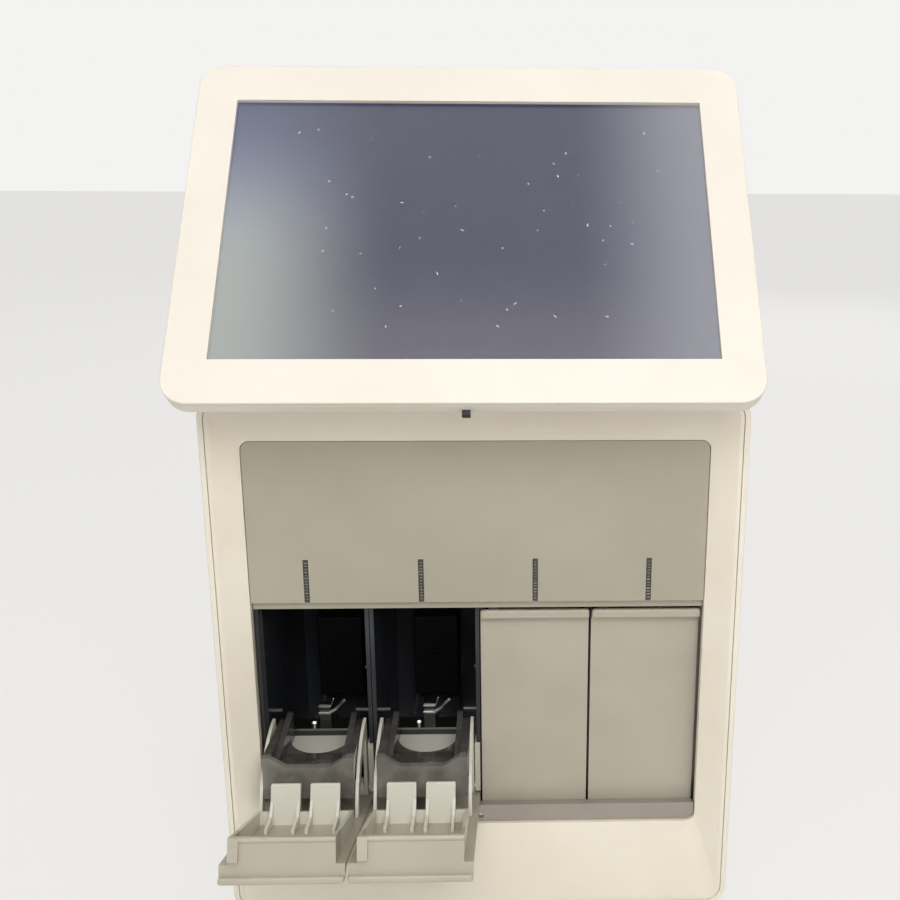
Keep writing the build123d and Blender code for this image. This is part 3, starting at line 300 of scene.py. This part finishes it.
def brushed_metal(name, colour, along, roughness=0.3):
    """Metal with fine scratches along one axis."""
    finish = Finish(name, colour, roughness, metallic=1.0)
    scratches = finish.noise(0.0006, detail=4, place=finish.stretched(along))
    share = finish.span(scratches, 0.3, 0.7, 0, 1)
    darker = tuple(value * 0.82 for value in colour[:3]) + (1.0,)
    finish.tint(finish.blend(share, colour, darker))
    finish.link(
        finish.span(scratches, 0.3, 0.7, roughness - 0.08, roughness + 0.1),
        finish.shader.inputs["Roughness"],
    )
    finish.bump(scratches, 0.00001)
    return finish.material


def circuit_board():
    """Green solder mask with a faint pattern of copper below."""
    finish = Finish("circuit_board", srgb(20, 84, 52), 0.35)
    copper = finish.node("ShaderNodeTexBrick")
    copper.inputs["Scale"].default_value = 120
    copper.inputs["Color1"].default_value = srgb(24, 92, 56)
    copper.inputs["Color2"].default_value = srgb(18, 74, 46)
    copper.inputs["Mortar"].default_value = srgb(34, 110, 66)
    finish.link(finish.place, copper.inputs["Vector"])
    finish.tint(copper.outputs["Color"])
    finish.bump(copper.outputs["Fac"], 0.00003)
    return finish.material


def guide_plastic():
    """Dark, smooth rod behind a light slot."""
    finish = Finish("guide_plastic", srgb(50, 47, 45), 0.2)
    finish.mottle(srgb(72, 68, 64), 0.002)
    finish.bump(finish.noise(0.0012), 0.00004)
    return finish.material


def segment_plastic():
    """Milky bars across a light slot."""
    finish = Finish("segment_plastic", srgb(150, 143, 134), 0.3)
    finish.mottle(srgb(104, 98, 94), 0.003)
    finish.bump(finish.noise(0.0005), 0.00002)
    return finish.material


def dust_fibres():
    """Pale lint and dust."""
    finish = Finish("dust_fibres", srgb(240, 241, 246), 0.9)
    finish.mottle(srgb(206, 207, 216), 0.004)
    return finish.material


def screen_glass():
    """Cover glass with a hard gloss and faint smears."""
    finish = Finish("screen_glass", (1, 1, 1, 1), 0.02)
    finish.shader.inputs["Transmission Weight"].default_value = 1.0
    finish.shader.inputs["IOR"].default_value = 1.45
    finish.wear(0.01, 0.04, 0.05)
    return finish.material


def screen_panel():
    """Dark panel with a painted glow that gathers along its sides and its foot, standing in for
    reflections of the room and backlight bleed.
    """
    finish = Finish("screen_panel", srgb(12, 12, 15), 0.7)
    finish.shader.inputs["Specular IOR Level"].default_value = 0.1
    low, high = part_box("display_panel")
    place = finish.node("ShaderNodeSeparateXYZ")
    finish.link(finish.place, place.inputs["Vector"])
    across, up = place.outputs["X"], place.outputs["Z"]
    width, height = high.x - low.x, high.z - low.z

    # Shares of the painted glow, rising smoothly across the panel
    def glow(value, start, stop, from_share, to_share):
        share = finish.span(value, start, stop, from_share, to_share)
        share.node.interpolation_type = "SMOOTHSTEP"
        return share

    left = glow(across, low.x, low.x + 0.36 * width, 1, 0)
    left = finish.product(left, glow(up, low.z + 0.45 * height, high.z, 1, 0.3))
    right = glow(across, high.x - 0.3 * width, high.x, 0, 0.9)
    foot = glow(up, low.z, low.z + 0.42 * height, 0.5, 0)
    drift = finish.span(finish.noise(0.12, detail=1), 0.35, 0.65, 0, 0.25)
    shade = finish.blend(drift, srgb(60, 64, 92), srgb(82, 82, 104))
    shade = finish.blend(foot, shade, srgb(136, 131, 140))
    shade = finish.blend(right, shade, srgb(162, 162, 174))
    upper = glow(up, low.z + 0.3 * height, high.z, 0, 1)
    cool = finish.blend(upper, srgb(184, 190, 186), srgb(148, 156, 190))
    shade = finish.blend(left, shade, cool)
    # Painted glow and painted reflection: the panel emits the gradient instead of reflecting it
    finish.link(shade, finish.shader.inputs["Emission Color"])
    finish.shader.inputs["Emission Strength"].default_value = 0.76
    return finish.material


finish_of = {
    "casing": casing_paint(),
    "bezel_plastic": bezel_plastic(),
    "fascia_plastic": fascia_paint(),
    "door_plastic": door_plastic("door_plastic", 0),
    "bay_plastic": bay_plastic(),
    "optics_housing": optics_shaded_black(),
    "stage_plastic": stage_plastic(),
    "steel": brushed_metal("ground_steel", srgb(206, 206, 206), (8, 8, 1), 0.25),
    "drive_metal": brushed_metal("dull_aluminium", srgb(178, 179, 182), (1, 6, 1), 0.4),
    "sheet_metal": brushed_metal("plated_sheet", srgb(186, 187, 184), (6, 1, 1), 0.38),
    "circuit_board": circuit_board(),
    "light_guide": guide_plastic(),
    "black_plastic": black_plastic(),
    "guard_wire": brushed_metal("bright_wire", srgb(205, 205, 205), (1, 6, 1), 0.18),
    "feet_rubber": foot_rubber(),
    "screen_glass": screen_glass(),
    "screen_panel": screen_panel(),
}

slot_of = {entry["node"]: entry["material_slot"] for entry in frame["record"]["subparts"]}


def dress(name, material):
    """Gives a node one finish all over."""
    mesh = nodes[name].data
    mesh.materials.clear()
    mesh.materials.append(material)


for bay in BAYS:
    dress(f"cradle_{bay}", cradle_plastic(bay))
for name in nodes:
    if slot_of[name] in finish_of:
        dress(name, finish_of[slot_of[name]])
for name in ("display_shell", "display_bezel"):
    dress(name, screen_frame_plastic())
dress("hinge_brackets", finish_of["door_plastic"])
dress("sill", sill_paint())
open_door = door_plastic("open_door_plastic", OPEN_TURN)
for bay in OPEN_BAYS:
    dress(f"door_{bay}", open_door)
dress("scanner_unit", finish_of["black_plastic"])

# Building blocks for trim


def settle(mesh, name, body):
    """Turns a finished mesh into a piece that rides on a body."""
    piece = bpy.data.objects.new(name, mesh)
    bpy.context.scene.collection.objects.link(piece)
    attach(piece, body)


SHARP = radians(40)


def solid_mesh(build, name, material, round_by):
    """A mesh built by a function, with its edges rounded."""
    form = bmesh.new()
    build(form)
    bmesh.ops.recalc_face_normals(form, faces=form.faces)
    sharp = [edge for edge in form.edges if edge.is_manifold and edge.calc_face_angle() > SHARP]
    bmesh.ops.bevel(
        form, geom=sharp, offset=round_by, segments=2, affect="EDGES", clamp_overlap=True
    )
    mesh = bpy.data.meshes.new(name)
    form.to_mesh(mesh)
    form.free()
    mesh.materials.append(material)
    return mesh


def bent_strip(form, path, thickness, front, back):
    """A flat strip that follows a path across and up, from its front to its back in depth."""
    points = [Vector(point) for point in path]
    sides = []
    for index, point in enumerate(points):
        before = points[max(index - 1, 0)]
        after = points[min(index + 1, len(points) - 1)]
        run = (after - before).normalized()
        offset = Vector((-run.y, run.x)) * thickness / 2
        sides.append((point + offset, point - offset))
    outline = [side[0] for side in sides] + [side[1] for side in reversed(sides)]
    rings = []
    for depth in (front, back):
        rings.append([form.verts.new((corner.x, depth, corner.y)) for corner in outline])
    count = len(points)
    for index in range(count - 1):
        for ring in rings:
            far = 2 * count - 1 - index
            form.faces.new((ring[index], ring[index + 1], ring[far - 1], ring[far]))
    for index in range(2 * count):
        following = (index + 1) % (2 * count)
        near, far = rings
        form.faces.new((near[index], near[following], far[following], far[index]))


def turned(form, centre, profile, sides=16):
    """A round form about an upright axis, from pairs of radius and height, closed at both ends."""
    rings = []
    for radius, height in profile:
        ring = []
        for index in range(sides):
            angle = radians(360 * index / sides)
            spot = Vector((radius * cos(angle), radius * sin(angle), height))
            ring.append(form.verts.new(centre + spot))
        rings.append(ring)
    for lower, upper in zip(rings, rings[1:]):
        for index in range(sides):
            following = (index + 1) % sides
            form.faces.new((lower[index], lower[following], upper[following], upper[index]))
    form.faces.new(rings[0])
    form.faces.new(rings[-1])


# Contacts on each cradle's post, in millimetres from the middle of the post's top

CLIP_BACK = 55.3
CLIP_DEPTH = 1.4
CLIP_ROUND = 0.2
BAR_HALF = 3.6
BAR_DROPS = (-5.4, -1.4)
BAR_THICKNESS = 1.3
HOOK_PATH = ((2.6, -1.6), (4.0, 0.0), (5.4, 4.0))
HOOK_THICKNESS = 0.7
HOOK_SET_BACK = 0.2
SPRING_PATH = ((2.6, -5.2), (6.4, -2.8), (12.0, 3.2))
SPRING_THICKNESS = 1.5
PIN_FOOT = (-6.2, -1.6, -13.2)
PIN_PROFILE = ((1.6, 0), (1.6, 1.6), (2.4, 1.9), (2.4, 2.7), (1.8, 3.6), (0.7, 4.1))


def contact_clip(index):
    """Two bright bars across the post, two bent springs beside them and a round-headed pin."""
    low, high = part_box(f"cradle_{index}")
    top = Vector(((low.x + high.x) / 2, low.y + CLIP_BACK * MM, high.z))
    front = top.y - CLIP_DEPTH * MM

    def strip(form, path, thickness, set_back=0):
        placed = [(top.x + across * MM, top.z + up * MM) for across, up in path]
        bent_strip(form, placed, thickness * MM, front + set_back * MM, top.y)

    def build(form):
        for drop in BAR_DROPS:
            strip(form, ((-BAR_HALF, drop), (BAR_HALF, drop)), BAR_THICKNESS)
        strip(form, HOOK_PATH, HOOK_THICKNESS, HOOK_SET_BACK)
        strip(form, SPRING_PATH, SPRING_THICKNESS)
        profile = [(radius * MM, height * MM) for radius, height in PIN_PROFILE]
        turned(form, top + Vector(PIN_FOOT) * MM, profile)

    name = f"contact_clip_{index}"
    mesh = solid_mesh(build, name, finish_of["guard_wire"], CLIP_ROUND * MM)
    settle(mesh, name, f"carrier_{index}")


for bay in BAYS:
    contact_clip(bay)

# What repeats: the bars in the light slots and the dust on the glass


class Growth:
    """A geometry tree under construction, with named inputs for its sizes."""

    def __init__(self, name, **sizes):
        self.tree = bpy.data.node_groups.new(name, "GeometryNodeTree")
        self.sizes = sizes
        for label, value in sizes.items():
            kind = "NodeSocketInt" if isinstance(value, int) else "NodeSocketFloat"
            self.tree.interface.new_socket(label, in_out="INPUT", socket_type=kind)
        kind = "NodeSocketGeometry"
        self.tree.interface.new_socket("Geometry", in_out="OUTPUT", socket_type=kind)
        self.entry = self.tree.nodes.new("NodeGroupInput")

    def node(self, kind, wired=(), **settings):
        """A node with its settings, whose inputs are wired to outputs or set to values."""
        made = self.tree.nodes.new(kind)
        for name, value in settings.items():
            setattr(made, name, value)
        for label, source in wired:
            self.wire(source, made.inputs[label])
        return made

    def wire(self, source, socket):
        """Links an output to a socket, or sets the socket's value."""
        if isinstance(source, bpy.types.NodeSocket):
            self.tree.links.new(source, socket)
        else:
            socket.default_value = source

    def size(self, label):
        return self.entry.outputs[label]

    def chance(self, low, high):
        """A random number or vector between two limits, drawn anew for each point."""
        kind, wanted = ("FLOAT_VECTOR", "VECTOR") if isinstance(low, tuple) else ("FLOAT", "VALUE")
        seed = [("Seed", self.size("Seed"))]
        made = self.node("FunctionNodeRandomValue", seed, data_type=kind)
        limits = [socket for socket in made.inputs if socket.type == wanted]
        for source, socket in zip((low, high), limits):
            self.wire(source, socket)
        return next(socket for socket in made.outputs if socket.type == wanted)

    def along(self, **axes):
        """A vector with some of its axes taken from sizes."""
        return self.node("ShaderNodeCombineXYZ", axes.items()).outputs[0]

    def grown(self, geometry, material):
        """The tree's result as a plain mesh."""
        real = self.node("GeometryNodeRealizeInstances", [("Geometry", geometry)])
        painted = self.node(
            "GeometryNodeSetMaterial", [("Geometry", real.outputs[0]), ("Material", material)]
        )
        self.node("NodeGroupOutput", [("Geometry", painted.outputs[0])])
        seed_object = bpy.data.objects.new(self.tree.name, bpy.data.meshes.new(self.tree.name))
        bpy.context.scene.collection.objects.link(seed_object)
        modifier = seed_object.modifiers.new(self.tree.name, "NODES")
        modifier.node_group = self.tree
        for item in self.tree.interface.items_tree:
            if item.in_out == "INPUT":
                modifier[item.identifier] = self.sizes[item.name]
        shown = seed_object.evaluated_get(bpy.context.evaluated_depsgraph_get())
        mesh = bpy.data.meshes.new_from_object(shown)
        bpy.data.objects.remove(seed_object)
        mesh.materials.clear()
        mesh.materials.append(material)
        return mesh


BAR_ROWS = 13
BAR_SHARES = ((0.45, 1, 0.6), (1, 1, 1.2))


def slot_bars():
    """Rows of small milky bars, one row across each light slot."""
    low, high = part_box("light_guides")
    first, second = (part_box(f"door_{index}") for index in (1, 2))
    growth = Growth(
        "slot_bars",
        Rows=BAR_ROWS,
        Columns=len(BAYS),
        Pitch=(high.z - low.z) / (BAR_ROWS + 1),
        Spacing=second[0].x - first[0].x,
        Width=1.9 * MM,
        Height=0.62 * MM,
        Depth=0.3 * MM,
        Seed=4,
    )
    row = growth.node(
        "GeometryNodeMeshLine",
        [("Count", growth.size("Rows")), ("Offset", growth.along(Z=growth.size("Pitch")))],
    )
    column = growth.node(
        "GeometryNodeMeshLine",
        [("Count", growth.size("Columns")), ("Offset", growth.along(X=growth.size("Spacing")))],
    )
    rows = growth.node(
        "GeometryNodeInstanceOnPoints",
        [("Points", column.outputs[0]), ("Instance", row.outputs[0])],
    )
    places = growth.node("GeometryNodeRealizeInstances", [("Geometry", rows.outputs[0])])
    extent = growth.along(X=growth.size("Width"), Y=growth.size("Depth"), Z=growth.size("Height"))
    bar = growth.node("GeometryNodeMeshCube", [("Size", extent)])
    bars = growth.node(
        "GeometryNodeInstanceOnPoints",
        [
            ("Points", places.outputs[0]),
            ("Instance", bar.outputs[0]),
            ("Scale", growth.chance(*BAR_SHARES)),
        ],
    )
    mesh = growth.grown(bars.outputs[0], segment_plastic())
    middle = (first[0].x + first[1].x) / 2
    start = Vector((middle, low.y, low.z + growth.sizes["Pitch"]))
    mesh.transform(Matrix.Translation(start))
    settle(mesh, "slot_bars", "base")


LEAN = radians(36.8)
FIBRE_HALF_WIDTH = 0.3 * MM
FIBRE_RISE = 0.14 * MM
HALF_TURN = 3.14


def screen_dust():
    """Lint and dust scattered over the screen's glass."""
    low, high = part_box("display_glass")
    rise, run = high.z - low.z, high.y - low.y
    length = (rise * cos(LEAN) - run * sin(LEAN)) / cos(2 * LEAN)
    growth = Growth(
        "screen_dust",
        Width=(high.x - low.x) * 0.82,
        Length=length * 0.74,
        Density=2200.0,
        Shortest=0.3 * MM,
        Longest=1.3 * MM,
        Seed=11,
    )
    field = growth.node(
        "GeometryNodeMeshGrid",
        [("Size X", growth.size("Width")), ("Size Y", growth.size("Length"))],
    )
    spots = growth.node(
        "GeometryNodeDistributePointsOnFaces",
        [
            ("Mesh", field.outputs[0]),
            ("Density", growth.size("Density")),
            ("Seed", growth.size("Seed")),
        ],
    )
    fibre = growth.node("GeometryNodeMeshIcoSphere", [("Radius", 1.0), ("Subdivisions", 1)])
    reach = growth.chance(growth.size("Shortest"), growth.size("Longest"))
    scale = growth.along(X=reach, Y=FIBRE_HALF_WIDTH, Z=FIBRE_RISE)
    lint = growth.node(
        "GeometryNodeInstanceOnPoints",
        [
            ("Points", spots.outputs[0]),
            ("Instance", fibre.outputs[0]),
            ("Rotation", growth.chance((0, 0, 0), (0, 0, HALF_TURN))),
            ("Scale", scale),
        ],
    )
    mesh = growth.grown(lint.outputs[0], dust_fibres())
    along = Vector((0, sin(LEAN), cos(LEAN)))
    outward = Vector((0, -cos(LEAN), sin(LEAN)))
    foot = Vector(((low.x + high.x) / 2, low.y, high.z - length * cos(LEAN)))
    centre = foot + along * length / 2 + outward * FIBRE_RISE
    mesh.transform(Matrix.Translation(centre) @ Matrix.Rotation(radians(90) - LEAN, 4, "X"))
    settle(mesh, "screen_dust", "display")


slot_bars()
screen_dust()

# Studio: floor, lamps and background

rim_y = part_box("outer_shell")[0].y


def seen_directly(tree):
    """One for rays from the camera, off gloss or through glass, and nought for the rest."""
    path = tree.nodes.new("ShaderNodeLightPath")
    total = path.outputs["Is Camera Ray"]
    for label in ("Is Glossy Ray", "Is Transmission Ray"):
        larger = tree.nodes.new("ShaderNodeMath")
        larger.operation = "MAXIMUM"
        tree.links.new(total, larger.inputs[0])
        tree.links.new(path.outputs[label], larger.inputs[1])
        total = larger.outputs["Value"]
    return total


def share_of(tree, value, low, high):
    """Maps nought and one to two other values."""
    made = tree.nodes.new("ShaderNodeMapRange")
    made.inputs["To Min"].default_value = low
    made.inputs["To Max"].default_value = high
    tree.links.new(value, made.inputs["Value"])
    return made.outputs["Result"]


def pale_floor():
    """A plain pale floor that keeps the machine's shadow and looks near white to the camera."""
    bpy.ops.mesh.primitive_plane_add(size=60)
    floor = bpy.context.object
    floor.name = "floor"
    finish = Finish("pale_floor", srgb(226, 225, 222), 0.75)
    tree = finish.tree
    shine = tree.nodes.new("ShaderNodeEmission")
    shine.inputs["Color"].default_value = srgb(246, 245, 243)
    mixed = tree.nodes.new("ShaderNodeMixShader")
    tree.links.new(share_of(tree, seen_directly(tree), 0, 0.72), mixed.inputs["Fac"])
    tree.links.new(finish.shader.outputs["BSDF"], mixed.inputs[1])
    tree.links.new(shine.outputs["Emission"], mixed.inputs[2])
    tree.links.new(mixed.outputs["Shader"], tree.nodes["Material Output"].inputs["Surface"])
    floor.data.materials.append(finish.material)


def lamp(name, size, power, place, target):
    """A square soft lamp that faces a point."""
    light = bpy.data.lights.new(name, "AREA")
    light.size = size
    light.energy = power
    spot = bpy.data.objects.new(name, light)
    bpy.context.scene.collection.objects.link(spot)
    spot.location = place
    direction = Vector(target) - Vector(place)
    spot.rotation_euler = direction.to_track_quat("-Z", "Y").to_euler()


def background():
    """An even pale world, whiter where it is seen than where it lights."""
    world = bpy.data.worlds.new("studio")
    bpy.context.scene.world = world
    world.use_nodes = True
    tree = world.node_tree
    shade = tree.nodes["Background"]
    shade.inputs["Color"].default_value = (1, 0.995, 0.98, 1)
    tree.links.new(share_of(tree, seen_directly(tree), 0.38, 0.9), shade.inputs["Strength"])


pale_floor()
lamp("ceiling", 4.0, 38, (0, -1.7, 2.6), (0, -0.9, 0.2))
lamp("front", 1.2, 5, (0.25, -1.9, 1.05), (0, -0.1, 0.15))
lamp("rear", 2.0, 17, (0.9, 2.6, 1.7), (0, 0.1, 0.2))
lamp("near", 0.5, 3.2, (0.1, -0.9, 0.8), (0, -0.15, 0.14))
background()
bpy.context.scene.view_settings.view_transform = "Standard"

# Camera at the photograph's place, worked out from the photograph's corners

CAMERA_AT = (19.06, -517.12, 419.13)
YAW = 0.0305
PITCH = 0.2537
ROLL = -0.0045
FOCAL_PIXELS = 1050
PICTURE_SIZE = 900
CENTRE_X = 541.8
SENSOR = 36


def photograph_camera():
    """A camera at the photograph's viewpoint, with its sideways shift."""
    forward = Vector((sin(YAW) * cos(PITCH), cos(YAW) * cos(PITCH), -sin(PITCH)))
    right = Vector((cos(YAW), -sin(YAW), 0))
    down = forward.cross(right)
    across = right * cos(ROLL) + down * sin(ROLL)
    downwards = down * cos(ROLL) - right * sin(ROLL)
    data = bpy.data.cameras.new("photograph")
    data.sensor_width = SENSOR
    data.lens = FOCAL_PIXELS * SENSOR / PICTURE_SIZE
    data.shift_x = (PICTURE_SIZE / 2 - CENTRE_X) / PICTURE_SIZE
    camera = bpy.data.objects.new("photograph", data)
    bpy.context.scene.collection.objects.link(camera)
    turn = Matrix((across, -downwards, -forward)).transposed().to_4x4()
    spot = Vector(CAMERA_AT) * MM + Vector((0, rim_y, 0))
    camera.matrix_world = Matrix.Translation(spot) @ turn
    bpy.context.scene.camera = camera


photograph_camera()
